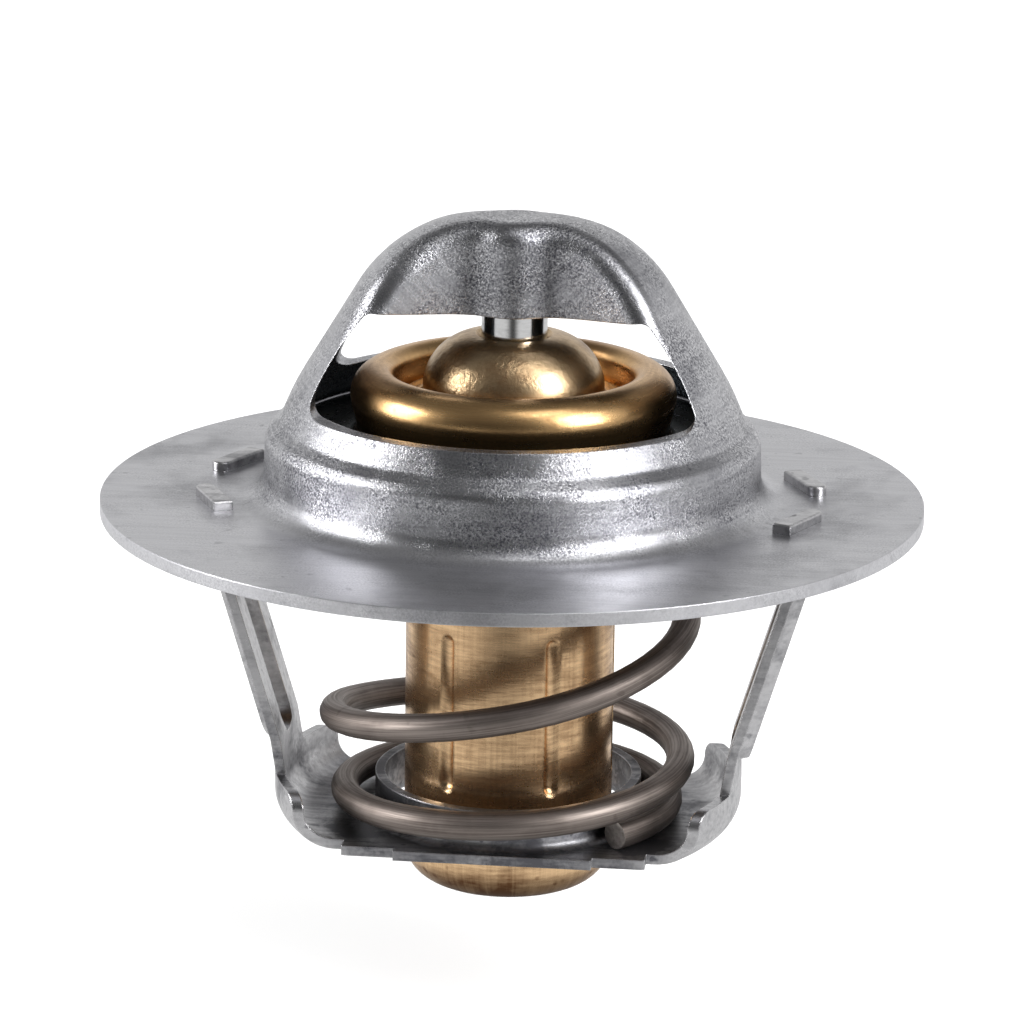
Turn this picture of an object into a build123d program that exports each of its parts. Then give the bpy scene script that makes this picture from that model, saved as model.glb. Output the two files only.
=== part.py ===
from build123d import *
from math import atan2, cos, pi, radians, sin, tan
import os

os.makedirs("parts", exist_ok=True)

# Engine thermostat with a deep-drawn cage, a wax element and a poppet valve.
# Millimetres. The origin lies on the axis, in the plane of the flange's underside.
# +Z runs up through the bridge, and the bridge and the frame's arms lie along X.

# Driving dimensions: the sheet-steel cage
flange_dia = 50.0
cage_sheet = 0.8
wall_foot_r = 15.15
wall_draft = 0.15
wall_top_z = 4.75
step_in = 0.9
neck_z = 5.55
flare_in = 0.8
flare_z = 7.5
dome_in = 6.4
crown_z = 18.1
foot_fillet = 1.6
step_fillet = 1.0
neck_fillet = 0.6
flare_fillet = 18.0
crown_fillet = 9.0

# Driving dimensions: the two windows and the bridge pressed between them
sill_z = 6.95
sill_half = 11.75
sill_corner = 0.7
jamb_mid_half = 10.45
jamb_mid_z = 9.9
lintel_half = 8.3
lintel_z = 12.95
lintel_sag = 0.5
pocket_rise = 4.0
strap_end_x = 7.9
strap_end_half = 5.1
strap_root_x = 8.6
strap_root_half = 8.0
strap_waist_half = 2.5
strap_waist_x = 1.9
strap_flank_x = 5.2
strap_flank_half = 3.5
socket_boss_r = 3.0
fold_fillet = 1.3

# Driving dimensions: the spring frame
frame_sheet = 0.6
frame_floor_z = -19.3
collar_r = 8.2
collar_rim_z = -16.8
collar_bend = 0.6
dish_r = 14.4
dish_rim_z = -16.6
dish_bend = 1.6
dish_corner = 1.1
wing_half = 7.4
wing_reach = 5.2
floor_tab_half = 8.5
floor_tab_reach = 3.2
floor_middle_half = 9.0
arm_width = 7.2
arm_top_x = 18.65
arm_flat_x = 14.3
arm_flat_z = -14.4
rib_width = 3.8
rib_depth = 0.75
rib_top_z = -1.8
rib_foot_z = -15.4
rib_taper = 30
prong_width = 1.2
prong_reach = 3.7
prong_turn = 64
prong_edge = 0.15
slot_clearance = 0.05

# Driving dimensions: the brass valve
valve_sheet = 0.6
rim_play = 0.35
seat_clearance = 0.05
bead_width = 3.1
bead_undercut = 1.05
bead_top_z = 8.85
bead_round = 1.7
mouth_play = 0.15
mouth_round = 0.8
well_round = 0.3
foot_round = 0.5

# Driving dimensions: the wax element
cup_r = 6.4
cup_wall = 0.8
cup_bottom_z = -23.5
cup_corner = 2.2
shoulder_reach = 0.7
cup_shoulder = 0.6
crimp_height = 2.5
crimp_lip = 0.6
crimp_reach = 1.35
crimp_round = 0.6
groove_count = 6
groove_width = 1.0
groove_depth = 0.28
groove_top_z = -6.6
groove_foot_z = -16.5
guide_play = 0.25
guide_top_z = 10.9
guide_round = 3.3
guide_chamfer = 0.3
piston_r = 2.0
piston_tip_z = -14.6
piston_tip_r = 1.0
piston_taper = 4.0
piston_edge = 0.35
running_clearance = 0.03
boot_wall = 1.4
boot_flange = 0.6
boot_floor = 1.4
washer_r = 3.6
washer_height = 0.7
packing_clearance = 0.02

# Driving dimensions: the main spring. The lay gives turns from the cut end below,
# and the height that the wire has climbed there
wire_dia = 1.75
coil_low_r = 9.9
coil_high_r = 10.8
coil_open_from = 0.5
coil_open_to = 1.3
coil_start = -43
lay_turns = (0, 0.5, 0.88, 1.12, 1.45, 1.62, 1.88, 2.12, 2.9, 3.4, 3.9)
lay_share = (0, 0.007, 0.069, 0.116, 0.167, 0.237, 0.383, 0.54, 0.91, 0.993, 1)
points_a_turn = 8
coil_clearance = 0.04

# Values worked out from the driving dimensions
flange_r = flange_dia / 2
wall_top_r = wall_foot_r - wall_draft
neck_r = wall_top_r - step_in
flare_r = neck_r - flare_in
crown_corner_r = flare_r - dome_in
crown_under_z = crown_z - cage_sheet
beyond = flange_dia
pocket_z = sill_z + pocket_rise
frame_under_z = frame_floor_z - frame_sheet
floor_tab_x = dish_r - wing_reach
floor_middle_x = floor_tab_x - floor_tab_reach
arm_lean = atan2(arm_top_x - arm_flat_x, -arm_flat_z)
arm_depth = frame_sheet / cos(arm_lean)
prong_x = arm_top_x - arm_depth / 2
prong_y = (arm_width - prong_width) / 2

# The valve's rim bears on the cone under the collar's step, one sheet below the outside
step_lean = atan2(neck_z - wall_top_z, wall_top_r - neck_r)
seat_at_wall_z = wall_top_z - cage_sheet / cos(step_lean)
valve_r = wall_top_r - cage_sheet - rim_play
valve_top_z = seat_at_wall_z + (wall_top_r - valve_r) * tan(step_lean) - seat_clearance
valve_under_z = valve_top_z - valve_sheet
cup_shoulder_r = cup_r + shoulder_reach
mouth_r = cup_shoulder_r + mouth_play
bead_r = mouth_r + bead_width
bead_foot_r = bead_r - bead_undercut
crimp_r = cup_shoulder_r - crimp_reach
guide_r = crimp_r - guide_play
crimp_top_z = valve_top_z + crimp_height
boot_under_z = valve_top_z + cup_shoulder
boot_top_z = boot_under_z + boot_flange
guide_flange_z = crimp_top_z - crimp_lip
bore_r = piston_r + running_clearance

# Flange cage: one sheet of constant thickness, as a skin and its inward offset
cage_points = [
    (flange_r, cage_sheet),
    (wall_foot_r, cage_sheet),
    (wall_top_r, wall_top_z),
    (neck_r, neck_z),
    (flare_r, flare_z),
    (crown_corner_r, crown_z),
    (0, crown_z),
]
cage_radii = [foot_fillet, step_fillet, neck_fillet, flare_fillet, crown_fillet]
bend_sides = [1, -1, 1, -1, -1]
inside_radii = [radius + side * cage_sheet for radius, side in zip(cage_radii, bend_sides)]
with BuildLine() as cage_corners:
    Polyline(*cage_points)
with BuildLine() as inside_corners:
    offset(
        cage_corners.line, amount=cage_sheet, kind=Kind.INTERSECTION, side=Side.LEFT, closed=False
    )
inside_points = sorted(
    [(corner.X, round(corner.Y, 3)) for corner in inside_corners.vertices()],
    key=lambda corner: (corner[1], -corner[0]),
)

# Plan of what the press takes away in front of the bridge, a waisted strap that
# swells to a round boss about the piston's head. Growth moves the outline inwards


def press_plan(growth):
    with BuildSketch() as plan:
        with BuildLine():
            flank = Spline(
                (0, growth - socket_boss_r),
                (strap_waist_x, growth - strap_waist_half),
                (strap_flank_x, growth - strap_flank_half),
                (strap_end_x + growth / 2, growth - strap_end_half),
                (strap_root_x + growth, -strap_root_half),
                tangents=[(1, 0), (0, -1)],
            )
            Polyline(flank @ 1, (strap_root_x + growth, -beyond), (0, -beyond))
            mirror(about=Plane.YZ)
        make_face()
    return plan.sketch


with BuildPart() as pocket:
    with BuildSketch(Plane.XY.offset(pocket_z)):
        add(press_plan(0))
    extrude(amount=beyond)
    mirror(about=Plane.XZ)

with BuildPart() as cavity:
    with BuildSketch(Plane.XZ):
        with BuildLine():
            inside = FilletPolyline(*inside_points, radius=inside_radii)
            Polyline(inside @ 1, (0, -cage_sheet), (flange_r, -cage_sheet), inside @ 0)
        make_face()
    revolve(axis=Axis.Z)
    with BuildSketch(Plane.XY.offset(pocket_z)):
        add(press_plan(cage_sheet))
        mirror(about=Plane.XZ)
    extrude(amount=beyond, mode=Mode.SUBTRACT)
    folds = cavity.edges().filter_by(GeomType.BSPLINE)
    fillet(folds.filter_by(lambda edge: edge.center().Z > pocket_z), fold_fillet - cage_sheet)

with BuildPart() as flange_cage:
    with BuildSketch(Plane.XZ):
        with BuildLine():
            outside = FilletPolyline(*cage_points, radius=cage_radii)
            Polyline(outside @ 1, (0, 0), (flange_r, 0), outside @ 0)
        make_face()
    revolve(axis=Axis.Z)
    add(pocket.part, mode=Mode.SUBTRACT)
    folds = flange_cage.edges().filter_by(GeomType.BSPLINE)
    fillet(folds.filter_by(lambda edge: edge.center().Z > pocket_z), fold_fillet)
    with BuildSketch(Plane.XZ) as window:
        with BuildLine():
            Line((-sill_half, sill_z), (sill_half, sill_z))
            jamb = ThreePointArc((sill_half, sill_z), (jamb_mid_half, jamb_mid_z), (lintel_half, lintel_z))
            ThreePointArc(jamb @ 1, (0, lintel_z - lintel_sag), (-lintel_half, lintel_z))
            ThreePointArc((-lintel_half, lintel_z), (-jamb_mid_half, jamb_mid_z), (-sill_half, sill_z))
        make_face()
        fillet(window.vertices(), sill_corner)
    extrude(amount=beyond, both=True, mode=Mode.SUBTRACT)
    add(cavity.part, mode=Mode.SUBTRACT)
    with BuildSketch(Plane.XY):
        with GridLocations(2 * prong_x, 2 * prong_y, 2, 2):
            Rectangle(arm_depth + 2 * slot_clearance, prong_width + 2 * slot_clearance)
    extrude(amount=cage_sheet, mode=Mode.SUBTRACT)
flange_cage.part.label = "flange_cage"
export_step(flange_cage.part, "parts/flange_cage.step")

# Spring frame: a drawn dish with a guide collar, cut to its outline
with BuildPart() as spring_frame:
    with BuildSketch(Plane.XZ):
        with BuildLine():
            dish_skin = FilletPolyline(
                (collar_r, collar_rim_z),
                (collar_r, frame_floor_z),
                (dish_r - frame_sheet, frame_floor_z),
                (dish_r - frame_sheet, dish_rim_z),
                radius=[collar_bend, dish_bend],
            )
            offset(dish_skin, amount=frame_sheet, side=Side.RIGHT)
        make_face()
    revolve(axis=Axis.Z)
    with BuildSketch(Plane.XY.offset(frame_under_z)):
        Rectangle(2 * dish_r, 2 * wing_half)
        Rectangle(2 * floor_tab_x, 2 * floor_tab_half)
        Rectangle(2 * floor_middle_x, 2 * floor_middle_half)
    extrude(amount=dish_rim_z - frame_under_z, mode=Mode.INTERSECT)
    rim_edges = spring_frame.edges().filter_by_position(Axis.Z, dish_rim_z, dish_rim_z)
    rim_edges = rim_edges.group_by(Axis.Y)
    fillet(rim_edges[0] + rim_edges[-1], dish_corner)

    # Arm: from the dish's curved wall into a flat strip that leans outwards
    with BuildSketch(Plane.XY.offset(dish_rim_z)):
        Circle(dish_r)
        Circle(dish_r - frame_sheet, mode=Mode.SUBTRACT)
        with Locations((dish_r, 0)):
            Rectangle(dish_r, arm_width, mode=Mode.INTERSECT)
    with BuildSketch(Plane.XY.offset(arm_flat_z)):
        with Locations((arm_flat_x - arm_depth / 2, 0)):
            Rectangle(arm_depth, arm_width)
    with BuildSketch(Plane.XY):
        with Locations((prong_x, 0)):
            Rectangle(arm_depth, arm_width)
    loft(ruled=True)

    # Rib pressed outwards along the arm's middle
    arm_face = Plane(
        origin=(arm_top_x, 0, 0),
        x_dir=(sin(arm_lean), 0, cos(arm_lean)),
        z_dir=(cos(arm_lean), 0, -sin(arm_lean)),
    )
    rib_middle = (rib_top_z + rib_foot_z) / 2 / cos(arm_lean)
    rib_length = (rib_top_z - rib_foot_z) / cos(arm_lean)
    rib_slope = radians(rib_taper)
    rib_wall = frame_sheet * (1 / cos(rib_slope) - tan(rib_slope))
    with BuildSketch(arm_face):
        with Locations((rib_middle, 0)):
            SlotOverall(rib_length, rib_width)
    extrude(amount=rib_depth, taper=rib_taper)
    with BuildSketch(arm_face.offset(-frame_sheet)):
        with Locations((rib_middle, 0)):
            SlotOverall(rib_length - 2 * rib_wall, rib_width - 2 * rib_wall)
    extrude(amount=rib_depth, taper=rib_taper, mode=Mode.SUBTRACT)
    mirror(about=Plane.YZ)

    # Prongs: up through the flange's slots, bent inwards and twisted to the sides
    with BuildSketch(Plane.XY):
        with GridLocations(2 * prong_x, 2 * prong_y, 2, 2):
            Rectangle(arm_depth, prong_width)
    extrude(amount=cage_sheet)
    with BuildSketch(Plane.XY.offset(cage_sheet)):
        with Locations(Location((prong_x, prong_y), 180 - prong_turn)):
            with Locations((prong_reach / 2, 0)):
                Rectangle(prong_reach, prong_width)
            Circle(prong_width / 2)
        mirror(about=Plane.XZ)
        mirror(about=Plane.YZ)
    extrude(amount=frame_sheet)
    fillet(spring_frame.edges().group_by(Axis.Z)[-1], prong_edge)
spring_frame.part.label = "spring_frame"
export_step(spring_frame.part, "parts/spring_frame.step")

# Valve plate: one brass sheet with a sealing rim, a hollow bead and a well
with BuildPart() as valve_plate:
    with BuildSketch(Plane.XZ):
        with BuildLine():
            valve_skin = FilletPolyline(
                (valve_r, valve_top_z),
                (bead_foot_r, valve_top_z),
                (bead_r, bead_top_z),
                (mouth_r, bead_top_z),
                (mouth_r, valve_top_z),
                (cup_r + packing_clearance, valve_top_z),
                radius=[foot_round, bead_round, mouth_round, well_round],
            )
            offset(valve_skin, amount=valve_sheet, side=Side.LEFT)
        make_face()
    revolve(axis=Axis.Z)
valve_plate.part.label = "valve_plate"
export_step(valve_plate.part, "parts/valve_plate.step")

# Pressed grooves: round-ended rods that stand partly in the cup's wall. The same
# rods, grown by the sheet, give the ridges inside
groove_rod_r = (groove_width**2 / 4 + groove_depth**2) / (2 * groove_depth)
groove_axis_r = cup_r - groove_depth + groove_rod_r
groove_length = groove_top_z - groove_foot_z - groove_width


def groove_rods(growth):
    with BuildPart() as rods:
        with Locations((0, 0, (groove_top_z + groove_foot_z) / 2)):
            with PolarLocations(groove_axis_r, groove_count):
                Cylinder(groove_rod_r + growth, groove_length)
                with Locations((0, 0, groove_length / 2), (0, 0, -groove_length / 2)):
                    Sphere(groove_rod_r + growth)
    return rods.part


# Wax cup: drawn brass with a shoulder on the well's floor and a rolled edge
cup_inner_r = cup_r - cup_wall
head_inner_r = cup_shoulder_r - cup_wall
with BuildPart() as cup_hollow:
    with BuildSketch(Plane.XZ):
        with BuildLine():
            FilletPolyline(
                (0, cup_bottom_z + cup_wall),
                (cup_inner_r, cup_bottom_z + cup_wall),
                (cup_inner_r, boot_under_z),
                radius=cup_corner - cup_wall,
            )
            Polyline((cup_inner_r, boot_under_z), (0, boot_under_z), (0, cup_bottom_z + cup_wall))
        make_face()
    revolve(axis=Axis.Z)
    add(groove_rods(cup_wall), mode=Mode.SUBTRACT)

with BuildPart() as wax_cup:
    with BuildSketch(Plane.XZ):
        with BuildLine():
            outside = FilletPolyline(
                (0, cup_bottom_z),
                (cup_r, cup_bottom_z),
                (cup_r, valve_top_z),
                (cup_shoulder_r, valve_top_z),
                (cup_shoulder_r, crimp_top_z),
                (crimp_r, crimp_top_z),
                radius=[cup_corner, 0, foot_round, crimp_round],
            )
            Polyline(
                outside @ 1,
                (crimp_r, guide_flange_z),
                (head_inner_r, guide_flange_z),
                (head_inner_r, boot_under_z),
                (0, boot_under_z),
                outside @ 0,
            )
        make_face()
    revolve(axis=Axis.Z)
    add(groove_rods(0), mode=Mode.SUBTRACT)
    add(cup_hollow.part, mode=Mode.SUBTRACT)
wax_cup.part.label = "wax_cup"
export_step(wax_cup.part, "parts/wax_cup.step")

# Rubber boot: a flange clamped under the guide and a closed sleeve over the piston
flange_fit_r = head_inner_r - packing_clearance
with BuildPart() as rubber_boot:
    with BuildSketch(Plane.XZ):
        with BuildLine():
            Polyline(
                (bore_r, boot_top_z),
                (flange_fit_r, boot_top_z),
                (flange_fit_r, boot_under_z),
                (bore_r + boot_wall, boot_under_z),
                (bore_r + boot_wall, piston_tip_z - boot_floor),
                (0, piston_tip_z - boot_floor),
                (0, piston_tip_z - running_clearance),
                (piston_tip_r + running_clearance, piston_tip_z - running_clearance),
                (bore_r, piston_tip_z + piston_taper),
                (bore_r, boot_top_z),
            )
        make_face()
    revolve(axis=Axis.Z)
    fillet(rubber_boot.edges().group_by(Axis.Z)[0], boot_wall / 2)
rubber_boot.part.label = "rubber_boot"
export_step(rubber_boot.part, "parts/rubber_boot.step")

# Wax charge: fills the cup's hollow round the boot
with BuildPart() as wax_charge:
    with BuildSketch(Plane.XZ):
        wax_r = cup_inner_r - packing_clearance
        wax_under_z = cup_bottom_z + cup_wall + packing_clearance
        with BuildLine():
            FilletPolyline(
                (0, wax_under_z),
                (wax_r, wax_under_z),
                (wax_r, boot_under_z - packing_clearance),
                radius=cup_corner - cup_wall,
            )
            Polyline(
                (wax_r, boot_under_z - packing_clearance),
                (0, boot_under_z - packing_clearance),
                (0, wax_under_z),
            )
        make_face()
    revolve(axis=Axis.Z)
    add(groove_rods(cup_wall + packing_clearance), mode=Mode.SUBTRACT)
    wax_bore_z = piston_tip_z - boot_floor - packing_clearance
    with BuildSketch(Plane.XY.offset(wax_bore_z)):
        Circle(bore_r + boot_wall + packing_clearance)
    extrude(amount=boot_under_z - wax_bore_z, mode=Mode.SUBTRACT)
wax_charge.part.label = "wax_charge"
export_step(wax_charge.part, "parts/wax_charge.step")

# Piston guide: turned brass, a flange under the rolled edge and a round dome
with BuildPart() as piston_guide:
    with BuildSketch(Plane.XZ):
        with BuildLine():
            dome = FilletPolyline(
                (guide_r, guide_flange_z),
                (guide_r, guide_top_z),
                (bore_r, guide_top_z),
                radius=guide_round,
            )
            Polyline(
                dome @ 1,
                (bore_r, boot_top_z + washer_height),
                (washer_r + packing_clearance, boot_top_z + washer_height),
                (washer_r + packing_clearance, boot_top_z),
                (flange_fit_r, boot_top_z),
                (flange_fit_r, guide_flange_z),
                dome @ 0,
            )
        make_face()
    revolve(axis=Axis.Z)
    chamfer(piston_guide.edges().group_by(Axis.Z)[-1].sort_by(SortBy.RADIUS)[0], guide_chamfer)
piston_guide.part.label = "piston_guide"
export_step(piston_guide.part, "parts/piston_guide.step")

# Chafe washer between the boot's mouth and the guide
with BuildPart() as chafe_washer:
    with BuildSketch(Plane.XY.offset(boot_top_z)):
        Circle(washer_r)
        Circle(bore_r, mode=Mode.SUBTRACT)
    extrude(amount=washer_height)
chafe_washer.part.label = "chafe_washer"
export_step(chafe_washer.part, "parts/chafe_washer.step")

# Piston: hardened rod that stands in the bridge's boss and tapers at its lower tip
with BuildPart() as piston:
    with BuildSketch(Plane.XZ):
        Polygon(
            (0, piston_tip_z),
            (piston_tip_r, piston_tip_z),
            (piston_r, piston_tip_z + piston_taper),
            (piston_r, crown_under_z),
            (0, crown_under_z),
            align=None,
        )
    revolve(axis=Axis.Z)
    chamfer(piston.edges().group_by(Axis.Z)[-1], piston_edge)
piston.part.label = "piston"
export_step(piston.part, "parts/piston.step")

# Main spring: the lay is drawn unrolled, turns along X and height along Y, and then
# wrapped round the axis while the coil grows wider upwards
spring_low_z = frame_floor_z + wire_dia / 2 + coil_clearance
spring_rise = valve_under_z - wire_dia / 2 - coil_clearance - spring_low_z
spring_turns = lay_turns[-1]
turn_length = pi * (coil_low_r + coil_high_r)
with BuildLine() as lay:
    Spline(
        [(turn * turn_length, share * spring_rise) for turn, share in zip(lay_turns, lay_share)],
        tangents=[(1, 0), (1, 0)],
    )


def wrapped(share):
    length, height, _ = lay.line @ share
    turn = length / turn_length
    angle = radians(coil_start) + 2 * pi * turn
    opened = (turn - coil_open_from) / (coil_open_to - coil_open_from)
    coil_r = coil_low_r + (coil_high_r - coil_low_r) * min(max(opened, 0), 1)
    return (coil_r * cos(angle), coil_r * sin(angle), spring_low_z + height)


point_count = int(spring_turns * points_a_turn)
with BuildPart() as main_spring:
    with BuildLine():
        coil = Spline([wrapped(number / point_count) for number in range(point_count + 1)])
    with BuildSketch(Plane(origin=coil @ 0, z_dir=coil % 0)):
        Circle(wire_dia / 2)
    sweep(path=coil, is_frenet=True)
main_spring.part.label = "main_spring"
export_step(main_spring.part, "parts/main_spring.step")
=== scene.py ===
# %% [markdown]
# # An engine thermostat, from its CAD frame to a finished picture
# The model arrives as ten rigid nodes. They keep their places and their sizes. This lesson
# gives each one its finish, draws the coil spring again as one smooth wire, and lights the
# whole as a small metal product on a white table.

# %% Load the fixed frame
import bpy
from math import cos, pi, radians, sin
from mathutils import Matrix, Vector


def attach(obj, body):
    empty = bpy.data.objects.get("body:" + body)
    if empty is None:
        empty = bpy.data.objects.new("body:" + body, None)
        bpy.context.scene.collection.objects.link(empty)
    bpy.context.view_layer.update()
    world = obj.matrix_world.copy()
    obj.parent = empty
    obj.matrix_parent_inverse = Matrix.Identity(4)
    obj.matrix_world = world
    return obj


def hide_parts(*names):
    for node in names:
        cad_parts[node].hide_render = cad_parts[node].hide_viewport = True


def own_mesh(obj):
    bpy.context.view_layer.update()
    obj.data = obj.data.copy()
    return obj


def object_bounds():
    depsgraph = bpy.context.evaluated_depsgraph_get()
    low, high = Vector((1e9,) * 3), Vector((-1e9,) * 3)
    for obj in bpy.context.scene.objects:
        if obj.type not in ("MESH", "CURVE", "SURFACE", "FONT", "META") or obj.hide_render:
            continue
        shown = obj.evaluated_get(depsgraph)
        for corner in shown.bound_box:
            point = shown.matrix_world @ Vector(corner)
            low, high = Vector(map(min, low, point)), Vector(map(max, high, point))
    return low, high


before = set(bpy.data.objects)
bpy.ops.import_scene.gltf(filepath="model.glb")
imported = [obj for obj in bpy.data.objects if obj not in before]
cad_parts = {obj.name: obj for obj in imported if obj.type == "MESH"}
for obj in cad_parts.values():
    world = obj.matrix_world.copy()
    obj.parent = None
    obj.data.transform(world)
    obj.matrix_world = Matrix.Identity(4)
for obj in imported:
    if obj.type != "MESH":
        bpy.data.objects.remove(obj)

cad_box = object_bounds()
MM = 0.001
print("nodes:", sorted(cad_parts))

# %% [markdown]
# ## Camera
# A long lens from 300 mm away gives the flat view of a catalogue picture. The camera stands a
# little to the right and 15.6 degrees above the flange, and it is tipped by less than a degree.
# The lens and the drop of its aim were worked out from the ellipse of the flange's edge.

# %% Put the camera in its place
CAMERA_DISTANCE = 0.3
CAMERA_AZIMUTH = radians(6.0)
CAMERA_ELEVATION = radians(15.64)
CAMERA_ROLL = radians(0.81)
CAMERA_LENS = 173.37
CAMERA_SENSOR = 36
CAMERA_NEAREST = 10 * MM
AIM_DROP = 0.286 * MM

level = cos(CAMERA_ELEVATION)
stand = Vector((sin(CAMERA_AZIMUTH) * level, -cos(CAMERA_AZIMUTH) * level, sin(CAMERA_ELEVATION)))
forward = -stand
right = forward.cross(Vector((0, 0, 1))).normalized()
up = right.cross(forward)
tipped_right = cos(CAMERA_ROLL) * right + sin(CAMERA_ROLL) * up
tipped_up = cos(CAMERA_ROLL) * up - sin(CAMERA_ROLL) * right

camera_data = bpy.data.cameras.new("catalogue_camera")
camera_data.lens = CAMERA_LENS
camera_data.sensor_width = CAMERA_SENSOR
camera_data.clip_start = CAMERA_NEAREST
camera = bpy.data.objects.new("catalogue_camera", camera_data)
bpy.context.scene.collection.objects.link(camera)
turn = Matrix((tipped_right, tipped_up, stand)).transposed().to_4x4()
camera.matrix_world = Matrix.Translation(stand * CAMERA_DISTANCE - tipped_up * AIM_DROP) @ turn
bpy.context.scene.camera = camera
print("camera stands at", tuple(round(v, 4) for v in camera.location))

# %% [markdown]
# ## Helpers for node trees
# A finish is a small tree of nodes, and every tree below is built with the same helpers. The
# first ones make a node, put a value or a wire into a socket, and wire pairs of sockets.
# With them, each recipe further down stays as short as its idea.

# %% Make nodes and fill their sockets


def node(tree, kind, **values):
    made = tree.nodes.new(kind)
    for key, value in values.items():
        if hasattr(made, key):
            setattr(made, key, value)
        else:
            made.inputs[key].default_value = value
    return made


def feed(tree, socket, value):
    if isinstance(value, bpy.types.NodeSocket):
        tree.links.new(value, socket)
    else:
        socket.default_value = value


def wire(tree, *pairs):
    for start, end in pairs:
        tree.links.new(start, end)


# %% [markdown]
# A recipe is mostly sums: masks are added, weighed and faded from one place to another, and
# tones are mixed by a mask. Each kind of sum is one helper that takes numbers or sockets.

# %% Sums on numbers, vectors and tones


def math(tree, operation, *values):
    made = node(tree, "ShaderNodeMath", operation=operation)
    for socket, value in zip(made.inputs, values):
        feed(tree, socket, value)
    return made.outputs[0]


def add(tree, total, *more):
    for value in more:
        total = math(tree, "ADD", total, value)
    return total


def weigh(tree, mask, share, start=0.0):
    return math(tree, "MULTIPLY_ADD", mask, share, start)


def vector_math(tree, operation, *values):
    made = node(tree, "ShaderNodeVectorMath", operation=operation)
    for socket, value in zip(made.inputs, values):
        feed(tree, socket, value)
    return made.outputs


def split(tree, vector):
    made = node(tree, "ShaderNodeSeparateXYZ")
    tree.links.new(vector, made.inputs[0])
    return made.outputs


def join(tree, **parts):
    made = node(tree, "ShaderNodeCombineXYZ")
    for axis, value in parts.items():
        feed(tree, made.inputs[axis], value)
    return made.outputs[0]


def fade(tree, value, start, end, low=0.0, high=1.0, shape="LINEAR"):
    made = node(tree, "ShaderNodeMapRange", interpolation_type=shape, clamp=True)
    made.inputs["From Min"].default_value = start
    made.inputs["From Max"].default_value = end
    made.inputs["To Min"].default_value = low
    made.inputs["To Max"].default_value = high
    tree.links.new(value, made.inputs["Value"])
    return made.outputs["Result"]


def mix(tree, share, first, second):
    made = node(tree, "ShaderNodeMix", data_type="FLOAT")
    for label, value in (("Factor", share), ("A", first), ("B", second)):
        feed(tree, made.inputs[label], value)
    return made.outputs["Result"]


def mix_colours(tree, share, first, second):
    made = node(tree, "ShaderNodeMix", data_type="RGBA")
    tree.links.new(share, made.inputs["Factor"])
    for label, value in (("A", first), ("B", second)):
        feed(tree, made.inputs[label], (*value, 1) if isinstance(value, tuple) else value)
    return made.outputs["Result"]


# %% [markdown]
# The object is nearly round about the Z axis, so a point's reach from that axis says which
# part of a piece it lies on. And a studio looks different to a camera than in a mirror, so
# one helper tells the camera's rays and those of dull surfaces from mirror-like ones.

# %% Where a point lies, and which ray asks


def reach_from_axis(tree, place):
    flat = vector_math(tree, "MULTIPLY", place, (1, 1, 0))["Vector"]
    return vector_math(tree, "LENGTH", flat)["Value"]


def plain_rays(tree):
    rays = node(tree, "ShaderNodeLightPath").outputs
    return math(tree, "MAXIMUM", rays["Is Camera Ray"], rays["Is Diffuse Ray"])


# %% [markdown]
# ## Studio
# Bare metal has no look of its own: it shows what stands around it. So the room matters more
# than the paint. The camera and dull surfaces see a white room, and everything mirror-like
# sees a studio that is bright behind the object, and dark in front of it and above. This
# draws the long light and dark bands on collar, dome and brass.

# %% A white room with a darker studio for reflections
STUDIO_FRONT = 0.05
STUDIO_BACK = 1.02
STUDIO_TOP = 0.17
ROOM_WHITE = 1.0
FRONT_TO = -0.55
BACK_FROM = 0.45
TOP_FROM = 0.25
TOP_FULL = 0.8

scene = bpy.context.scene
scene.view_settings.view_transform = "Standard"
scene.view_settings.look = "None"

world = bpy.data.worlds.new("studio")
world.use_nodes = True
scene.world = world
room = world.node_tree
room.nodes.clear()
direction = split(room, node(room, "ShaderNodeTexCoord").outputs["Generated"])
walls = fade(room, direction["Y"], FRONT_TO, BACK_FROM, STUDIO_FRONT, STUDIO_BACK, "SMOOTHSTEP")
overhead = fade(room, direction["Z"], TOP_FROM, TOP_FULL, shape="SMOOTHSTEP")
mirrored_room = mix(room, overhead, walls, STUDIO_TOP)
backdrop = node(room, "ShaderNodeBackground")
wire(
    room,
    (mix(room, plain_rays(room), mirrored_room, ROOM_WHITE), backdrop.inputs["Strength"]),
    (backdrop.outputs[0], node(room, "ShaderNodeOutputWorld").inputs["Surface"]),
)
print("studio tones, front, back, top:", STUDIO_FRONT, STUDIO_BACK, STUDIO_TOP)

# %% [markdown]
# ## Table
# The table is one large white sheet. It lies as far below the wax cup as the cup comes down when
# the valve opens, and a little play, so that the open thermostat clears it too.

# %% Lay the table
VALVE_LIFT = 8 * MM
TABLE_PLAY = 0.2 * MM
TABLE_Z = cad_box[0][2] - VALVE_LIFT - TABLE_PLAY
TABLE_HALF = 3.0
TABLE_CORNERS = ((-1, -1), (1, -1), (1, 1), (-1, 1))

table_mesh = bpy.data.meshes.new("table")
corners = [(TABLE_HALF * x, TABLE_HALF * y, TABLE_Z) for x, y in TABLE_CORNERS]
table_mesh.from_pydata(corners, [], [(0, 1, 2, 3)])
table = bpy.data.objects.new("table", table_mesh)
scene.collection.objects.link(table)
print("table at", round(TABLE_Z, 4))

# %% [markdown]
# ### Its paper
# Seen by the camera the table is paper white. In a reflection it is light about the object and
# at either side, below the panels, and dark further out in the middle, where the camera
# stands. So the fronts of collar and bridge are darker than their sides, while the can, which
# sees the paper close by, stays warm and light. Right under the can lies its own shade, and
# that darkens its foot. From below the table is see-through, so that the underside of
# the object can be looked at.

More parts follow.
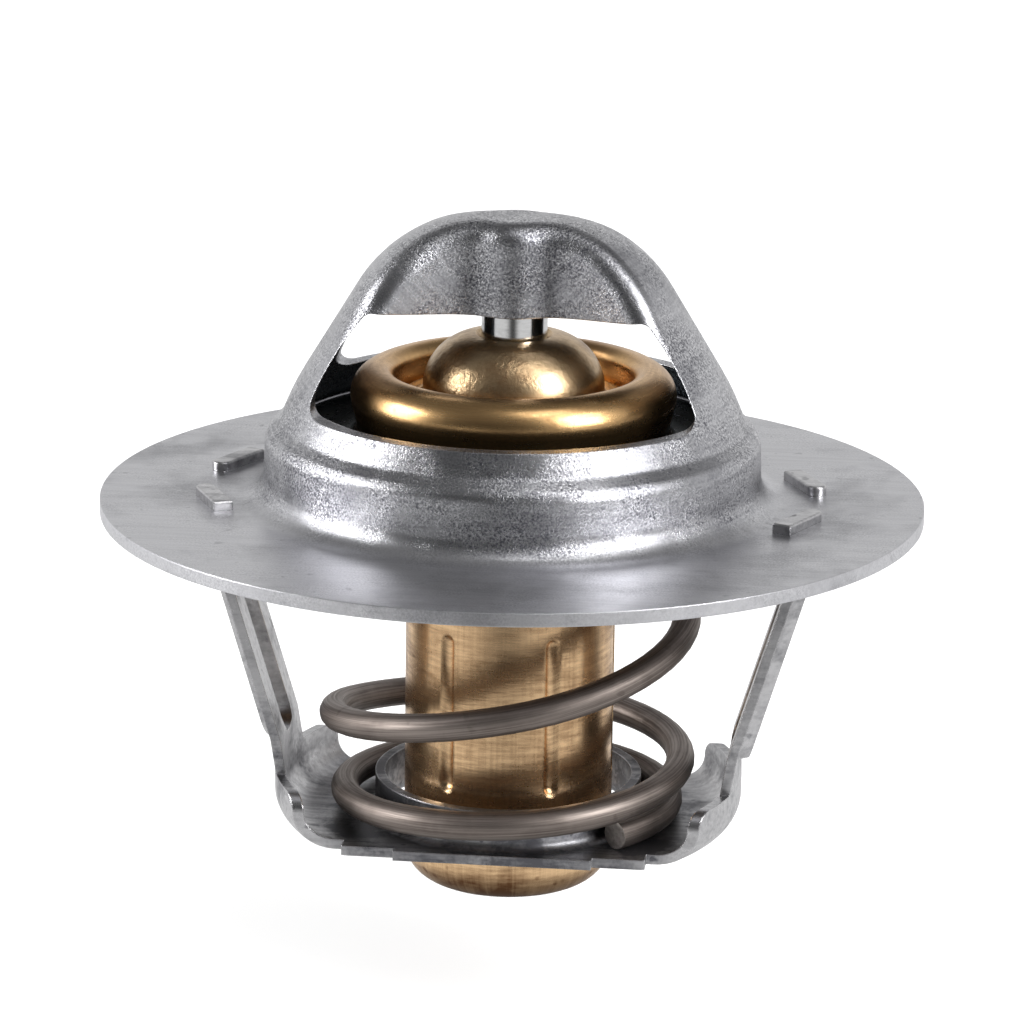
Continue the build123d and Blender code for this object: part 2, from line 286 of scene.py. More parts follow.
# %% White paper that looks darker in a mirror
PAPER_WHITE = 0.92
PAPER_ROUGH = 0.9
PAPER_GLOW = 0.18
MIRRORED_DARK = 0.08
MIRRORED_LIGHT = 0.78
CAMERA_SHADE_Y = -118 * MM
CAMERA_SHADE_HALF = 10 * MM
CAMERA_SHADE_TO = CAMERA_SHADE_HALF + 70 * MM
OWN_SHADE = 0.3
OWN_SHADE_TO = 22 * MM


def mirrored_tone(tree):
    place = node(tree, "ShaderNodeTexCoord").outputs["Object"]
    spot = split(tree, place)
    nearer = math(tree, "SUBTRACT", spot["Y"], CAMERA_SHADE_Y)
    outside = math(tree, "MAXIMUM", math(tree, "ABSOLUTE", spot["X"]), nearer)
    tone = fade(
        tree, outside, CAMERA_SHADE_HALF, CAMERA_SHADE_TO, MIRRORED_DARK, MIRRORED_LIGHT, "SMOOTHSTEP"
    )
    spread = math(tree, "DIVIDE", reach_from_axis(tree, place), OWN_SHADE_TO)
    lighter = weigh(tree, math(tree, "POWER", spread, 2.0), share=1 - OWN_SHADE, start=OWN_SHADE)
    return math(tree, "MULTIPLY", tone, math(tree, "MINIMUM", lighter, 1.0))


def make_paper():
    paper = bpy.data.materials.new("table_paper")
    paper.use_nodes = True
    tree = paper.node_tree
    plain = tree.nodes["Principled BSDF"]
    plain.inputs["Base Color"].default_value = (PAPER_WHITE, PAPER_WHITE, PAPER_WHITE, 1)
    plain.inputs["Roughness"].default_value = PAPER_ROUGH
    plain.inputs["Specular IOR Level"].default_value = 0.0
    plain.inputs["Emission Color"].default_value = (1, 1, 1, 1)
    plain.inputs["Emission Strength"].default_value = PAPER_GLOW
    mirrored = node(tree, "ShaderNodeEmission")
    from_above = node(tree, "ShaderNodeMixShader")
    either_side = node(tree, "ShaderNodeMixShader")
    wire(
        tree,
        (mirrored_tone(tree), mirrored.inputs["Strength"]),
        (plain_rays(tree), from_above.inputs["Fac"]),
        (mirrored.outputs[0], from_above.inputs[1]),
        (plain.outputs[0], from_above.inputs[2]),
        (node(tree, "ShaderNodeNewGeometry").outputs["Backfacing"], either_side.inputs["Fac"]),
        (from_above.outputs[0], either_side.inputs[1]),
        (node(tree, "ShaderNodeBsdfTransparent").outputs[0], either_side.inputs[2]),
        (either_side.outputs[0], tree.nodes["Material Output"].inputs["Surface"]),
    )
    return paper


table.data.materials.append(make_paper())
print("the table wears", table.data.materials[0].name)

# %% [markdown]
# ## Soft panels
# One panel stands square to the left, a larger one at the right towards the camera, and a small
# one hangs high at the right. The uneven set is why the two folds of the dome don't shine
# alike, why the collar's step carries a light band at its sides, and why the brass bead has
# one highlight near its left end and one nearer its middle.

# %% Left, right and top panels
PANELS = {
    "left_panel": {"place": (-0.66, -0.10, 0.22), "width": 0.30, "height": 0.40, "power": 3.4},
    "right_panel": {"place": (0.55, -0.34, 0.36), "width": 0.36, "height": 0.50, "power": 4.6},
    "top_panel": {"place": (0.22, -0.20, 0.62), "width": 0.34, "height": 0.30, "power": 0.8},
}


def soft_panel(name, place, width, height, power):
    light = bpy.data.lights.new(name, "AREA")
    light.shape = "RECTANGLE"
    light.size = width
    light.size_y = height
    light.energy = power
    panel = bpy.data.objects.new(name, light)
    scene.collection.objects.link(panel)
    panel.location = place
    panel.rotation_euler = (-Vector(place)).to_track_quat("-Z", "Y").to_euler()
    print(name, "at", place, "power", power)


for name, values in PANELS.items():
    soft_panel(name, **values)

# %% [markdown]
# ## Shared effects
# Four effects appear on more than one metal, so each is a shader group with named inputs that
# every material sets for itself: the speckle of pressed sheet, stains left by oil and handling,
# marks that run round or along a drawn or turned part, and fine straight scratches. All of
# them start from noise, stretched so that it reaches from black to white.

# %% Start a group with named inputs and outputs


def start_group(name, inputs, outputs):
    tree = bpy.data.node_groups.new(name, "ShaderNodeTree")
    tree.interface.new_socket("Vector", in_out="INPUT", socket_type="NodeSocketVector")
    for label, value in inputs.items():
        socket = tree.interface.new_socket(label, in_out="INPUT", socket_type="NodeSocketFloat")
        socket.default_value = value
    for label in outputs:
        tree.interface.new_socket(label, in_out="OUTPUT", socket_type="NodeSocketFloat")
    return tree, tree.nodes.new("NodeGroupInput").outputs, tree.nodes.new("NodeGroupOutput").inputs


def noise(tree, vector, scale, detail=3.0, roughness=0.55):
    made = node(tree, "ShaderNodeTexNoise", Detail=detail, Roughness=roughness)
    tree.links.new(vector, made.inputs["Vector"])
    feed(tree, made.inputs["Scale"], scale)
    return made.outputs["Fac"]


# %% [markdown]
# ### Speckle
# Where steel is drawn over a punch its grains stand up and it looks peppered. Two sizes of
# noise, the finer one laid over the coarser one, give both the grain and its uneven spread.

# %% The speckle of drawn sheet


def make_speckle():
    tree, inputs, outputs = start_group(
        "drawn_speckle", {"Grain": 5200.0, "Patch": 380.0, "Amount": 1.0}, ("Mask", "Height")
    )
    grain = fade(tree, noise(tree, inputs["Vector"], inputs["Grain"], 3.0, 0.7), 0.36, 0.64)
    patch = fade(tree, noise(tree, inputs["Vector"], inputs["Patch"]), 0.35, 0.65)
    strength = math(tree, "MULTIPLY", weigh(tree, patch, share=0.8, start=0.2), inputs["Amount"])
    spotted = math(tree, "MULTIPLY", math(tree, "SUBTRACT", grain, 0.5), strength)
    wire(tree, (add(tree, spotted, 0.5), outputs["Mask"]), (spotted, outputs["Height"]))
    return tree


SPECKLE = make_speckle()
print("made", SPECKLE.name)

# %% [markdown]
# ### Stains
# Oil, fingers and the press leave soft darker clouds a few millimetres wide and a few small
# spots. The clouds' noise is read at places that another noise has pushed about by up to
# 4 mm, which keeps their edges from looking like plain fog.

# %% Soft stains
STAIN_PUSH = (4 * MM, 4 * MM, 4 * MM)


def make_stains():
    tree, inputs, outputs = start_group(
        "handling_stains", {"Scale": 180.0, "Amount": 1.0}, ("Mask",)
    )
    push = noise(tree, inputs["Vector"], 90.0)
    pushed = vector_math(tree, "MULTIPLY_ADD", push, STAIN_PUSH, inputs["Vector"])["Vector"]
    clouds = fade(tree, noise(tree, pushed, inputs["Scale"], 5.0, 0.6), 0.48, 0.68)
    spots = fade(tree, noise(tree, inputs["Vector"], 1100.0, 1.0, 0.4), 0.70, 0.76)
    both = math(tree, "MAXIMUM", clouds, weigh(tree, spots, share=0.7))
    tree.links.new(math(tree, "MULTIPLY", both, inputs["Amount"]), outputs["Mask"])
    return tree


STAINS = make_stains()
print("made", STAINS.name)

# %% [markdown]
# ### Marks round an axis
# A drawn can is marked along its length and a turned dome round its axis. The place is taken
# as a point on a ring of one size plus a run, which is the height less the reach from the axis.
# So the pattern has no seam, and rings go on over shoulders and flat ends. A high value of
# Around draws lines along the axis, and a high value of Along draws rings.

# %% Marks along or round the Z axis


def make_round_marks():
    tree, inputs, outputs = start_group(
        "round_marks", {"Around": 300.0, "Along": 30.0, "Amount": 1.0}, ("Mask",)
    )
    flat = vector_math(tree, "MULTIPLY", inputs["Vector"], (1, 1, 0))["Vector"]
    ring = vector_math(tree, "NORMALIZE", flat)["Vector"]
    around = vector_math(tree, "MULTIPLY", ring, inputs["Around"])["Vector"]
    height = split(tree, inputs["Vector"])["Z"]
    run = math(tree, "SUBTRACT", height, reach_from_axis(tree, inputs["Vector"]))
    along = join(tree, Z=math(tree, "MULTIPLY", run, inputs["Along"]))
    place = vector_math(tree, "ADD", around, along)["Vector"]
    lines = fade(tree, noise(tree, place, 1.0, 4.0, 0.65), 0.34, 0.66)
    tree.links.new(math(tree, "MULTIPLY", lines, inputs["Amount"]), outputs["Mask"])
    return tree


ROUND_MARKS = make_round_marks()
print("made", ROUND_MARKS.name)

# %% [markdown]
# ### Straight scratches
# The strip that the parts are cut from carries fine rolling lines, and handling adds short
# nicks. Noise squeezed hard across one direction gives lines with soft ends.

# %% Fine straight scratches


def make_scratches():
    tree, inputs, outputs = start_group(
        "straight_scratches", {"Across": 2600.0, "Along": 120.0, "Amount": 1.0}, ("Mask",)
    )
    parts = split(tree, inputs["Vector"])
    squeezed = {"X": inputs["Along"], "Y": inputs["Across"], "Z": inputs["Across"]}
    place = join(
        tree, **{axis: math(tree, "MULTIPLY", parts[axis], scale) for axis, scale in squeezed.items()}
    )
    lines = fade(tree, noise(tree, place, 1.0, 3.0, 0.6), 0.40, 0.70)
    tree.links.new(math(tree, "MULTIPLY", lines, inputs["Amount"]), outputs["Mask"])
    return tree


SCRATCHES = make_scratches()
print("made", SCRATCHES.name)

# %% [markdown]
# ## One recipe for a bare metal
# A metal here is a light tone and a dark tone, mixed by whatever effects it wears, and the same
# sum makes the dark places duller. A bevel in the shader softens the edges that the CAD
# leaves sharp. Where it bends the surface away from its true face lies an edge, and edges are
# painted lighter: partly rubbed bright by handling, partly a painted highlight. A very low
# bump carries the speckle and the marks.

# %% A bare metal from its effects
# How much lighter edges are painted: partly rubbing wear, partly a painted highlight along each edge.
RUBBED_EDGE_AND_HIGHLIGHT = 2.5
BEVEL_SAMPLES = 4


def effect(tree, place, group, **values):
    made = node(tree, "ShaderNodeGroup", node_tree=group)
    tree.links.new(place, made.inputs["Vector"])
    for label, value in values.items():
        made.inputs[label].default_value = value
    return made.outputs


def metal_tree(name, metallic=1.0):
    finish = bpy.data.materials.new(name)
    finish.use_nodes = True
    tree = finish.node_tree
    shader = tree.nodes["Principled BSDF"]
    shader.inputs["Metallic"].default_value = metallic
    place = node(tree, "ShaderNodeTexCoord").outputs["Object"]
    return finish, tree, shader, place


def finish_metal(tree, shader, dark, light, wear, rough, height, relief, edge=0.12 * MM):
    rounded = node(tree, "ShaderNodeBevel", samples=BEVEL_SAMPLES, Radius=edge).outputs[0]
    true_face = node(tree, "ShaderNodeNewGeometry").outputs["Normal"]
    agree = vector_math(tree, "DOT_PRODUCT", rounded, true_face)["Value"]
    # Painted highlight, partly real rubbing: edges get the light tone where the bevel bends the surface.
    rubbed_and_highlit = math(tree, "MULTIPLY", math(tree, "SUBTRACT", 1.0, agree), RUBBED_EDGE_AND_HIGHLIGHT)
    worn = math(tree, "MAXIMUM", math(tree, "SUBTRACT", wear, rubbed_and_highlit), 0.0)
    bump = node(tree, "ShaderNodeBump", Strength=1.0, Distance=relief)
    wire(
        tree,
        (mix_colours(tree, worn, light, dark), shader.inputs["Base Color"]),
        (fade(tree, worn, 0.0, 1.0, *rough), shader.inputs["Roughness"]),
        (height, bump.inputs["Height"]),
        (rounded, bump.inputs["Normal"]),
        (bump.outputs[0], shader.inputs["Normal"]),
    )


# %% [markdown]
# Two pieces need a step more: the valve's rim gets painted shade over its brass, and the flange
# is duller than what was drawn from it. Both are laid over the finished metal by a mask.

# %% Lay painted shade or dullness over a metal


def shade_over(tree, shader, colour, mask):
    below = shader.inputs["Base Color"].links[0].from_socket
    tree.links.new(mix_colours(tree, mask, below, colour), shader.inputs["Base Color"])


def dull_more(tree, shader, mask, amount):
    below = shader.inputs["Roughness"].links[0].from_socket
    tree.links.new(weigh(tree, mask, amount, below), shader.inputs["Roughness"])


# %% [markdown]
# ## The cage
# The flange stays nearly as smooth as the strip it was cut from. Everything above it was drawn,
# and the more it was stretched the more it is peppered and grey, so speckle and grey are
# faded in just above the flange's top. Rings left by the drawing tool run round the collar.

# %% Steel of the cage
FLANGE_TOP = 0.8 * MM
DRAWN_FROM = 1.6 * MM
FLANGE_DULLER = 0.14
FLANGE_GRAIN = 0.3
FLANGE_GREY = 0.1
DRAWN_GREYER = 0.29


def make_cage_steel():
    finish, tree, shader, place = metal_tree("cage_steel")
    drawn = fade(tree, split(tree, place)["Z"], FLANGE_TOP, DRAWN_FROM)
    undrawn = math(tree, "SUBTRACT", 1.0, drawn)
    speckle = effect(tree, place, SPECKLE, Grain=7600.0, Patch=330.0, Amount=1.0)
    stains = effect(tree, place, STAINS, Scale=150.0, Amount=0.30)
    rings = effect(tree, place, ROUND_MARKS, Around=2.0, Along=2600.0, Amount=0.20)
    rolled = effect(tree, place, SCRATCHES, Across=3000.0, Along=160.0, Amount=0.10)
    grained = weigh(tree, drawn, share=1 - FLANGE_GRAIN, start=FLANGE_GRAIN)
    peppered = math(tree, "MULTIPLY", speckle["Height"], grained)
    marks = mix(tree, drawn, rolled["Mask"], rings["Mask"])
    grey = weigh(tree, drawn, share=DRAWN_GREYER, start=FLANGE_GREY)
    finish_metal(
        tree,
        shader,
        dark=(0.12, 0.12, 0.14),
        light=(0.76, 0.76, 0.785),
        wear=add(tree, weigh(tree, peppered, share=1.2), marks, grey, stains["Mask"]),
        rough=(0.20, 0.38),
        height=peppered,
        relief=0.012 * MM,
    )
    dull_more(tree, shader, undrawn, FLANGE_DULLER)
    return finish


cage_steel = make_cage_steel()
print("made", cage_steel.name)

# %% [markdown]
# ## The spring frame
# The frame is a thinner strip of the same steel, only folded and lightly drawn, so it keeps its
# rolling lines and shows stains and rubbed places instead of speckle. Its middle, where the
# spring stands and the can slides, is darker: partly oil and wear, partly painted shade inside
# the collar and under the coil.

# %% Steel of the spring frame
# Painted shade, partly oil and wear: the frame is darker within this reach from the axis.
OIL_AND_SHADE_TO = 11.5 * MM
OIL_AND_SHADE_FADE = 1.6 * MM
OIL_AND_SHADE_DARK = 0.5


def make_frame_steel():
    finish, tree, shader, place = metal_tree("frame_steel")
    speckle = effect(tree, place, SPECKLE, Grain=4200.0, Patch=300.0, Amount=0.5)
    stains = effect(tree, place, STAINS, Scale=240.0, Amount=0.6)
    rolled = effect(tree, place, SCRATCHES, Across=2400.0, Along=220.0, Amount=0.3)
    # Mask for the darker middle: painted shade inside the collar and under the coil, partly oil.
    oil_and_shade = fade(tree, reach_from_axis(tree, place), OIL_AND_SHADE_TO + OIL_AND_SHADE_FADE, OIL_AND_SHADE_TO)
    darker = add(
        tree, weigh(tree, oil_and_shade, share=OIL_AND_SHADE_DARK), weigh(tree, speckle["Height"], share=0.5, start=0.12)
    )
    finish_metal(
        tree,
        shader,
        dark=(0.15, 0.15, 0.165),
        light=(0.68, 0.675, 0.685),
        wear=add(tree, darker, stains["Mask"], rolled["Mask"]),
        rough=(0.26, 0.45),
        height=speckle["Height"],
        relief=0.006 * MM,
    )
    return finish


frame_steel = make_frame_steel()
print("made", frame_steel.name)

# %% [markdown]
# ## Brass of the valve
# Three brasses meet in this object. The valve's is sheet, drawn into a hollow bead that is
# satin bright, with fine rings round it. Its sealing rim, low and outside the bead, is
# painted nearly black: painted shade, where it lies deep inside the cage.

# %% Sheet brass with painted shade on its rim
RIM_FROM = 9.0 * MM
RIM_TOP = 5.2 * MM
RIM_FADE = 0.8 * MM
# Painted shade: the near-black tone laid on the rim, low and outside the bead.
RIM_PAINTED_SHADE = (0.025, 0.032, 0.035)


def make_sheet_brass():
    finish, tree, shader, place = metal_tree("sheet_brass")
    outer = fade(tree, reach_from_axis(tree, place), RIM_FROM, RIM_FROM + RIM_FADE)
    low = fade(tree, split(tree, place)["Z"], RIM_TOP + RIM_FADE, RIM_TOP)
    speckle = effect(tree, place, SPECKLE, Grain=3600.0, Patch=260.0, Amount=0.5)
    stains = effect(tree, place, STAINS, Scale=130.0, Amount=0.4)
    rings = effect(tree, place, ROUND_MARKS, Around=3.0, Along=3200.0, Amount=0.3)
    mottled = weigh(tree, speckle["Height"], share=0.5, start=0.1)
    finish_metal(
        tree,
        shader,
        dark=(0.22, 0.105, 0.045),
        light=(0.78, 0.50, 0.23),
        wear=add(tree, mottled, stains["Mask"], rings["Mask"]),
        rough=(0.25, 0.40),
        height=rings["Mask"],
        relief=0.004 * MM,
    )
    # Painted shade on the rim, laid where it is both outside the bead and low.
    shade_over(tree, shader, RIM_PAINTED_SHADE, math(tree, "MULTIPLY", outer, low))
    return finish


sheet_brass = make_sheet_brass()
print("made", sheet_brass.name)

# %% [markdown]
# ## Brass of the guide
# The guide's dome is turned from bar and then tumbled, which leaves it a little uneven. So it
# has the coarsest speckle of the three, and a bump deep enough to break its highlights.

# %% Turned brass


def make_turned_brass():
    finish, tree, shader, place = metal_tree("turned_brass")
    speckle = effect(tree, place, SPECKLE, Grain=2600.0, Patch=420.0, Amount=1.0)
    stains = effect(tree, place, STAINS, Scale=300.0, Amount=0.45)
    mottled = weigh(tree, speckle["Height"], share=0.35, start=0.33)
    finish_metal(
        tree,
        shader,
        dark=(0.28, 0.16, 0.08),
        light=(0.80, 0.60, 0.36),
        wear=add(tree, mottled, stains["Mask"]),
        rough=(0.26, 0.40),
        height=speckle["Height"],
        relief=0.016 * MM,
    )
    return finish


turned_brass = make_turned_brass()
print("made", turned_brass.name)

# %% [markdown]
# ## Brass of the can
# The can is drawn deep and then sized in a die. That leaves clear rings round it and fainter
# lines along its sides. It wears brown stains, and it is painted darker towards its foot:
# painted shade, for the dark table right under it that the foot mirrors.

# %% Drawn brass with rings and a painted dark foot
CAN_FOOT_FROM = cad_box[0][2]
CAN_FOOT_TO = CAN_FOOT_FROM + 2.2 * MM


def make_can_brass():
    finish, tree, shader, place = metal_tree("can_brass")
    lines = effect(tree, place, ROUND_MARKS, Around=26.0, Along=90.0, Amount=0.3)
    rings = effect(tree, place, ROUND_MARKS, Around=2.5, Along=3400.0, Amount=0.6)
    stains = effect(tree, place, STAINS, Scale=210.0, Amount=0.55)
    # Painted shade: the can darkens over its lowest 2.2 mm.
    foot_shade = fade(tree, split(tree, place)["Z"], CAN_FOOT_TO, CAN_FOOT_FROM)
    marks = add(tree, lines["Mask"], rings["Mask"])
    # Real brown stains together with the painted shade at the foot.
    stains_and_foot_shade = add(tree, stains["Mask"], weigh(tree, foot_shade, share=0.6))
    finish_metal(
        tree,
        shader,
        dark=(0.20, 0.095, 0.042),
        light=(0.88, 0.60, 0.34),
        wear=add(tree, weigh(tree, marks, share=0.8, start=-0.18), stains_and_foot_shade),
        rough=(0.20, 0.38),
        height=marks,
        relief=0.005 * MM,
        edge=0.3 * MM,
    )
    return finish


can_brass = make_can_brass()
print("made", can_brass.name)

# %% [markdown]
# ## The piston
# The piston is ground and hard-chromed, the brightest thing on the part. Grinding leaves very
# close rings, too fine to see one by one, which stretch its highlight a little.

# %% Ground steel of the piston


def make_ground_steel():
    finish, tree, shader, place = metal_tree("ground_steel")
    rings = effect(tree, place, ROUND_MARKS, Around=2.0, Along=6000.0, Amount=0.5)
    stains = effect(tree, place, STAINS, Scale=700.0, Amount=0.5)
    finish_metal(
        tree,
        shader,
        dark=(0.36, 0.36, 0.36),
        light=(0.74, 0.74, 0.74),
        wear=add(tree, weigh(tree, rings["Mask"], share=0.4), stains["Mask"]),
        rough=(0.10, 0.30),
        height=rings["Mask"],
        relief=0.002 * MM,
    )
    return finish


ground_steel = make_ground_steel()
print("made", ground_steel.name)

# %% [markdown]
# ## Hidden pieces
# Boot, wax and washer are out of sight but keep honest finishes: dull rubber, cloudy wax and
# smooth white plastic. The metal recipe serves them too, with its Metallic value at zero.

# %% Rubber, wax and plastic


def make_dull(name, dark, light, rough, grain):
    finish, tree, shader, place = metal_tree(name, metallic=0.0)
    speckle = effect(tree, place, SPECKLE, Grain=grain, Patch=240.0, Amount=0.8)
    finish_metal(tree, shader, dark, light, speckle["Mask"], rough, speckle["Height"], 0.01 * MM)
    print("made", name)
    return finish


rubber_black = make_dull(
    "rubber_black", dark=(0.012, 0.012, 0.012), light=(0.035, 0.035, 0.035), rough=(0.5, 0.7), grain=4200.0
)
wax_amber = make_dull(
    "wax_amber", dark=(0.45, 0.33, 0.15), light=(0.66, 0.52, 0.28), rough=(0.4, 0.6), grain=900.0
)
washer_white = make_dull(
    "washer_white", dark=(0.68, 0.68, 0.66), light=(0.86, 0.86, 0.84), rough=(0.35, 0.5), grain=3000.0
)

# %% [markdown]
# ## Dress the nodes
# Each CAD node now gets its finish. The rigid spring is dressed like its frame, though the
# smooth wire made below takes its place.

# %% Dress the CAD nodes
FINISHES = {
    "flange_cage": cage_steel,
    "spring_frame": frame_steel,
    "main_spring": frame_steel,
    "valve_plate": sheet_brass,
    "wax_cup": can_brass,
    "piston_guide": turned_brass,
    "piston": ground_steel,
    "rubber_boot": rubber_black,
    "wax_charge": wax_amber,
    "chafe_washer": washer_white,
}

for name, finish in FINISHES.items():
    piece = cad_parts[name]
    piece.data.materials.clear()
    piece.data.materials.append(finish)
    print(name, "wears", finish.name)

# %% [markdown]
# ## The wire of the spring
# Spring wire is pulled through a die, which leaves fine lines along it, and it is tempered to a
# brown grey. The lines have to follow the coil, so the wire carries its own place: a
# direction round the wire and a length along it, which the spring's tree stores below. The
# sheared ends are brighter and rougher.

# %% Tempered wire and its cut ends
WIRE_PLACE = "wire_place"


def make_spring_wire():
    finish, tree, shader, place = metal_tree("spring_wire")
    kept = node(tree, "ShaderNodeAttribute", attribute_name=WIRE_PLACE).outputs["Vector"]
    fine = fade(tree, noise(tree, kept, 8.0, 3.0, 0.6), 0.36, 0.64)
    broad = noise(tree, kept, 2.2, 2.0, 0.5)
    lines = add(tree, weigh(tree, fine, share=0.6), weigh(tree, broad, share=0.5))
    stains = effect(tree, place, STAINS, Scale=260.0, Amount=0.3)
    finish_metal(
        tree,
        shader,
        dark=(0.125, 0.102, 0.09),
        light=(0.33, 0.285, 0.258),
        wear=add(tree, lines, -0.15, stains["Mask"]),
        rough=(0.42, 0.58),
        height=lines,
        relief=0.006 * MM,
        edge=0.05 * MM,
    )
    return finish


def make_wire_cut():
    finish, tree, shader, place = metal_tree("wire_cut")
    torn = effect(tree, place, SCRATCHES, Across=2600.0, Along=900.0, Amount=0.8)
    finish_metal(
        tree,
        shader,
        dark=(0.16, 0.14, 0.13),
        light=(0.42, 0.38, 0.35),
        wear=torn["Mask"],
        rough=(0.35, 0.55),
        height=torn["Mask"],
        relief=0.02 * MM,
    )
    return finish


spring_wire = make_spring_wire()
wire_cut = make_wire_cut()
print("made", spring_wire.name, "and", wire_cut.name)

# %% [markdown]
# ## The coil spring
# A spring follows one rule: it turns evenly, it climbs slowly at its closed ends and fast in
# between, and here its lowest turn is a little smaller. That is a case for Geometry Nodes: a
# line of points is laid out by the rule, a round wire is swept along it, and the tree's
# inputs are the sizes that a spring maker would ask for. A float curve holds the climb, as
# pairs of a share of the turns and a share of the height.

# %% Sizes of the spring, in metres, turns and radians
SPRING_SIZES = {
    "Wire diameter": 1.75 * MM,
    "Lowest radius": 9.9 * MM,
    "Highest radius": 10.8 * MM,
    "Opens from turn": 0.5,
    "Opens to turn": 1.3,
    "Start angle": radians(-43),
    "Foot height": -18.385 * MM,
    "Climb": 21.523 * MM,
    "Turns": 3.9,
}
SPRING_STEPS = 220
WIRE_SIDES = 28
CLIMB_POINTS = (
    (0.0, 0.0), (0.128, 0.007), (0.226, 0.069), (0.287, 0.116), (0.372, 0.167), (0.415, 0.237),
    (0.482, 0.383), (0.544, 0.54), (0.744, 0.91), (0.872, 0.993), (1.0, 1.0),
)
print("spring:", SPRING_SIZES)

# %% [markdown]
# ### The path of the wire
# Each point knows its number. Its share of the way gives the angle, the climb curve gives the
# height, and the radius opens from the lowest turn's to that of the others.

# %% Lay the points of the coil


def climb_curve(tree, share):
    climb = tree.nodes.new("ShaderNodeFloatCurve")
    points = climb.mapping.curves[0].points
    points[0].location = CLIMB_POINTS[0]
    points[1].location = CLIMB_POINTS[-1]
    for place in CLIMB_POINTS[1:-1]:
        points.new(*place)
    climb.mapping.update()
    tree.links.new(share, climb.inputs["Value"])
    return climb.outputs[0]


def spring_tree():
    tree = bpy.data.node_groups.new("coil_spring", "GeometryNodeTree")
    tree.interface.new_socket("Geometry", in_out="OUTPUT", socket_type="NodeSocketGeometry")
    for label, value in SPRING_SIZES.items():
        socket = tree.interface.new_socket(label, in_out="INPUT", socket_type="NodeSocketFloat")
        socket.default_value = value
    size = tree.nodes.new("NodeGroupInput").outputs
    number = tree.nodes.new("GeometryNodeInputIndex").outputs[0]
    share = math(tree, "DIVIDE", number, float(SPRING_STEPS - 1))
    turns = math(tree, "MULTIPLY", share, size["Turns"])
    span = math(tree, "SUBTRACT", size["Opens to turn"], size["Opens from turn"])
    past = math(tree, "SUBTRACT", turns, size["Opens from turn"])
    opened = fade(tree, math(tree, "DIVIDE", past, span), 0.0, 1.0)
    wider = math(tree, "SUBTRACT", size["Highest radius"], size["Lowest radius"])
    radius = math(tree, "MULTIPLY_ADD", wider, opened, size["Lowest radius"])
    angle = math(tree, "MULTIPLY_ADD", turns, 2 * pi, size["Start angle"])
    height = math(tree, "MULTIPLY_ADD", climb_curve(tree, share), size["Climb"], size["Foot height"])
    spot = join(
        tree,
        X=math(tree, "MULTIPLY", radius, math(tree, "COSINE", angle)),
        Y=math(tree, "MULTIPLY", radius, math(tree, "SINE", angle)),
        Z=height,
    )
    return tree, size, spot


# %% [markdown]
# ### The wire
# A circle is swept along the path. Before that, each point of the path keeps its length along
# the wire and each point of the circle keeps its place round it, because the swept mesh
# no longer knows either.

# %% Sweep the wire and keep its place on each point


def sweep_wire(tree, size, spot):
    line = node(tree, "GeometryNodeMeshLine", Count=SPRING_STEPS)
    path = tree.nodes.new("GeometryNodeMeshToCurve")
    laid = tree.nodes.new("GeometryNodeSetPosition")
    profile = node(tree, "GeometryNodeCurvePrimitiveCircle", Resolution=WIRE_SIDES)
    tree.links.new(math(tree, "MULTIPLY", size["Wire diameter"], 0.5), profile.inputs["Radius"])
    along = tree.nodes.new("GeometryNodeSplineParameter")
    kept_along = node(tree, "GeometryNodeCaptureAttribute")
    kept_along.capture_items.new("FLOAT", "Length")
    round_place = tree.nodes.new("GeometryNodeInputPosition")
    kept_round = node(tree, "GeometryNodeCaptureAttribute")
    kept_round.capture_items.new("VECTOR", "Round")
    swept = tree.nodes.new("GeometryNodeCurveToMesh")
    swept.inputs["Fill Caps"].default_value = True
    wire(
        tree,
        (line.outputs[0], path.inputs[0]),
        (path.outputs[0], laid.inputs["Geometry"]),
        (spot, laid.inputs["Position"]),
        (laid.outputs[0], kept_along.inputs["Geometry"]),
        (along.outputs["Length"], kept_along.inputs["Length"]),
        (profile.outputs[0], kept_round.inputs["Geometry"]),
        (round_place.outputs[0], kept_round.inputs["Round"]),
        (kept_along.outputs["Geometry"], swept.inputs["Curve"]),
        (kept_round.outputs["Geometry"], swept.inputs["Profile Curve"]),
    )
    return swept.outputs[0], kept_along.outputs["Length"], kept_round.outputs["Round"]


# %% [markdown]
# ### Its finish
# The place that the material reads is a vector: the direction round the wire, one unit long, and
# the length along it in units of 60 mm, so that noise on it is drawn out into lines. The end
# faces are the only ones with many corners, and that is how they get their own finish.

# %% Store the place, part the end faces, end the tree
LENGTH_UNIT = 60 * MM
SIDE_CORNERS = 4


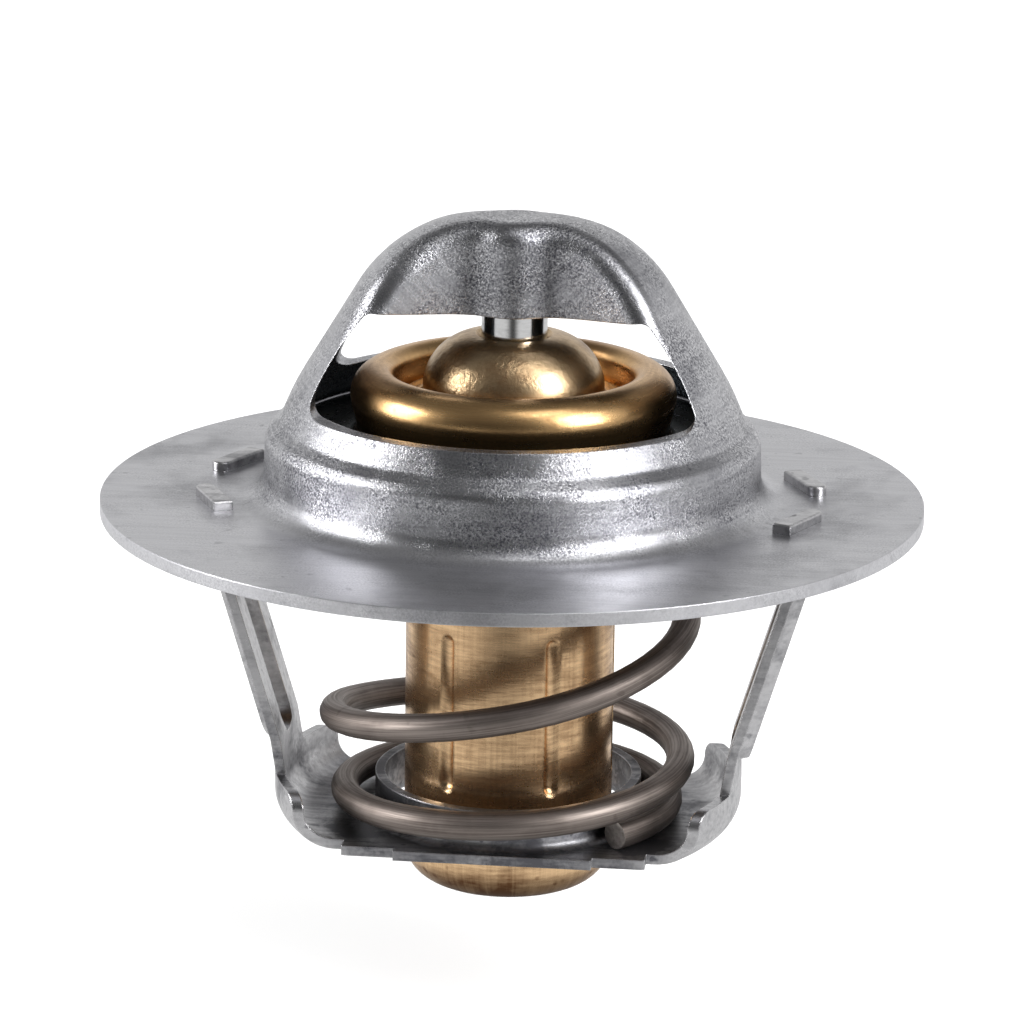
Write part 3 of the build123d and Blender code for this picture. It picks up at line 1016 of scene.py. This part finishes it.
def close_tree(tree, mesh, length, around):
    direction = vector_math(tree, "NORMALIZE", around)["Vector"]
    run = join(tree, Z=math(tree, "DIVIDE", length, LENGTH_UNIT))
    stored = node(tree, "GeometryNodeStoreNamedAttribute", data_type="FLOAT_VECTOR", domain="POINT")
    stored.inputs["Name"].default_value = WIRE_PLACE
    corners = tree.nodes.new("GeometryNodeInputMeshFaceNeighbors")
    is_end = node(tree, "FunctionNodeCompare", data_type="INT", operation="GREATER_THAN", B=SIDE_CORNERS)
    is_side = node(tree, "FunctionNodeBooleanMath", operation="NOT")
    smooth = tree.nodes.new("GeometryNodeSetShadeSmooth")
    realized = tree.nodes.new("GeometryNodeRealizeInstances")
    sides = node(tree, "GeometryNodeSetMaterial", Material=spring_wire)
    ends = node(tree, "GeometryNodeSetMaterial", Material=wire_cut)
    wire(
        tree,
        (mesh, stored.inputs["Geometry"]),
        (vector_math(tree, "ADD", direction, run)["Vector"], stored.inputs["Value"]),
        (corners.outputs["Vertex Count"], is_end.inputs["A"]),
        (is_end.outputs[0], is_side.inputs[0]),
        (stored.outputs[0], smooth.inputs["Geometry"]),
        (is_side.outputs[0], smooth.inputs["Selection"]),
        (smooth.outputs[0], realized.inputs[0]),
        (realized.outputs[0], sides.inputs["Geometry"]),
        (sides.outputs[0], ends.inputs["Geometry"]),
        (is_end.outputs[0], ends.inputs["Selection"]),
        (ends.outputs[0], tree.nodes.new("NodeGroupOutput").inputs[0]),
    )


# %% [markdown]
# ### From tree to mesh
# The tree is run once on an empty object, with its sizes set by name, and its result is kept
# as a plain mesh. The object that ran it is taken away again.

# %% Make the spring a plain mesh
tree, size, spot = spring_tree()
mesh, length, around = sweep_wire(tree, size, spot)
close_tree(tree, mesh, length, around)

maker = bpy.data.objects.new("spring_maker", bpy.data.meshes.new("spring_maker"))
scene.collection.objects.link(maker)
layer = maker.modifiers.new("coil_spring", "NODES")
layer.node_group = tree
for item in tree.interface.items_tree:
    if item.item_type == "SOCKET" and item.in_out == "INPUT":
        layer[item.identifier] = SPRING_SIZES[item.name]
ready = maker.evaluated_get(bpy.context.evaluated_depsgraph_get())
spring_mesh = bpy.data.meshes.new_from_object(ready)
spring_mesh.name = "coil_spring"
maker.modifiers.clear()
bpy.data.objects.remove(maker)
spring = bpy.data.objects.new("coil_spring", spring_mesh)
scene.collection.objects.link(spring)
print("spring faces:", len(spring_mesh.polygons), [material.name for material in spring_mesh.materials])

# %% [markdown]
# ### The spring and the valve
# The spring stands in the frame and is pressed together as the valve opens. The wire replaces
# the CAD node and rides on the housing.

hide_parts("main_spring")
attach(spring, "housing")
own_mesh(spring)
